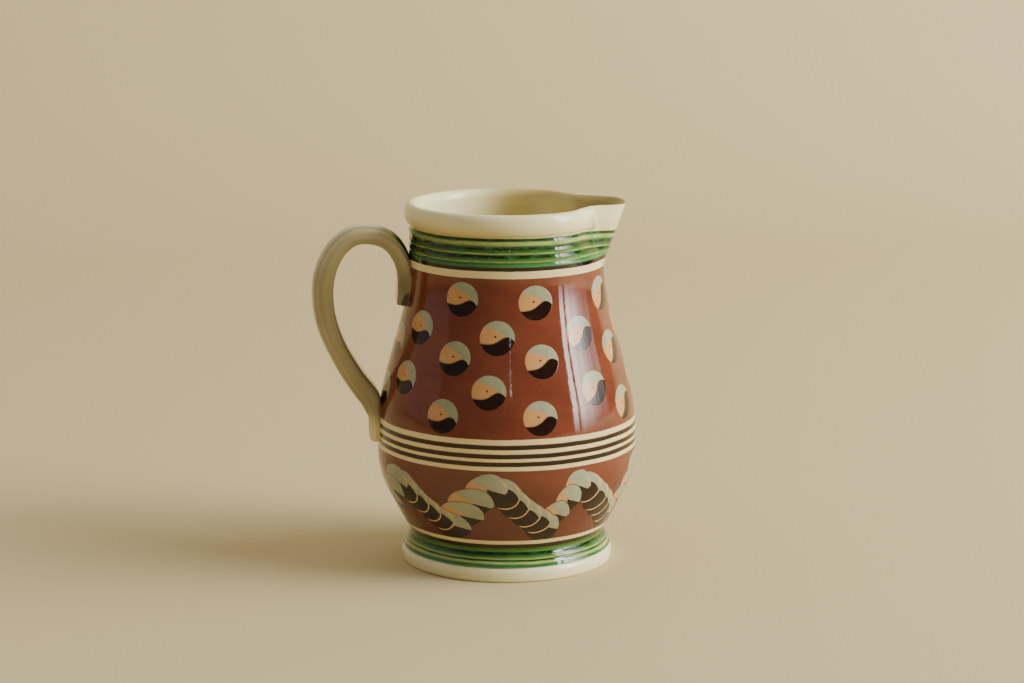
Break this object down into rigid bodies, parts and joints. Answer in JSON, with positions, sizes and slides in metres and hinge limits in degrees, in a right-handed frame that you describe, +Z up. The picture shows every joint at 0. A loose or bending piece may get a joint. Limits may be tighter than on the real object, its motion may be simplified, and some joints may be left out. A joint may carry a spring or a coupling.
{
  "type": "mochaware pitcher",
  "caption": "Baluster-shaped slip-decorated earthenware jug with reeded bands, a rolled rim, a pulled pouring lip and a strap handle.",
  "frame": {"origin": "on the body's turning axis, at the resting face of the foot", "axes": "+Z up along the turning axis, +X towards the pouring lip, the strap handle at -X, Y across"},
  "size_m": [0.1595, 0.128, 0.178],
  "materials": {
    "glazed_earthenware": "clear gloss glaze over coloured slip"
  },
  "bodies": {
    "root": {"pitcher": "glazed_earthenware"}
  },
  "joints": []
}
